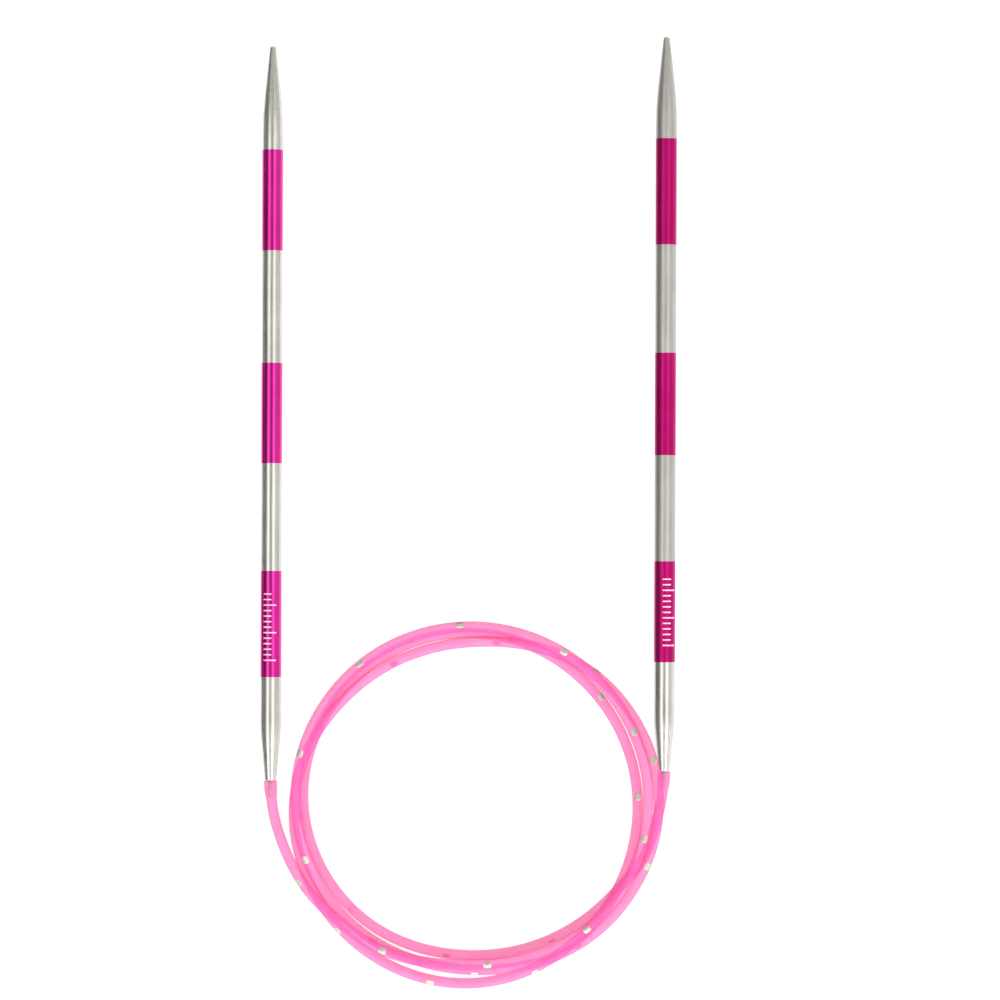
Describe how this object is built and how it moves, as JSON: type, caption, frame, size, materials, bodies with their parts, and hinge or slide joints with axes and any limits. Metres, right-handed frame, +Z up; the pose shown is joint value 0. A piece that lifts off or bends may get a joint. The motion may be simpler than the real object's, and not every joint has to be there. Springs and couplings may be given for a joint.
{
  "type": "circular knitting needle",
  "caption": "Two pointed straight metal needles with coloured bands, joined at their rear ends by a long limp translucent cord that lies in a loose round coil.",
  "frame": {"origin": "bottom centre of the two needles' bounding box, on the table they lie on", "axes": "+Y along both needles towards their points, +X from the left needle to the right one, +Z up from the table"},
  "size_m": [0.079, 0.1821, 0.0061],
  "materials": {
    "bare_aluminium": "satin, finely drawn along its length",
    "magenta_band": "metallic magenta, satin gloss",
    "steel": "turned",
    "pink_cord": "smooth, translucent hot pink"
  },
  "bodies": {
    "cord": {"cord_coil": "pink_cord", "left_cord_lead": "pink_cord", "right_cord_lead": "pink_cord", "left_swivel_pin": "steel", "right_swivel_pin": "steel"},
    "left_needle": {"left_shaft": "bare_aluminium", "left_front_band": "magenta_band", "left_middle_band": "magenta_band", "left_rear_band": "magenta_band", "left_mouth_bush": "steel"},
    "right_needle": {"right_shaft": "bare_aluminium", "right_front_band": "magenta_band", "right_middle_band": "magenta_band", "right_rear_band": "magenta_band", "right_mouth_bush": "steel"}
  },
  "joints": [
    {"name": "left_needle_swivel", "type": "hinge", "parent": "cord", "child": "left_needle", "pos_m": [-0.0375, -0.071, 0.002], "axis": [0, 1, 0], "continuous": true},
    {"name": "right_needle_swivel", "type": "hinge", "parent": "cord", "child": "right_needle", "pos_m": [0.0375, -0.069, 0.002], "axis": [0, 1, 0], "continuous": true}
  ]
}
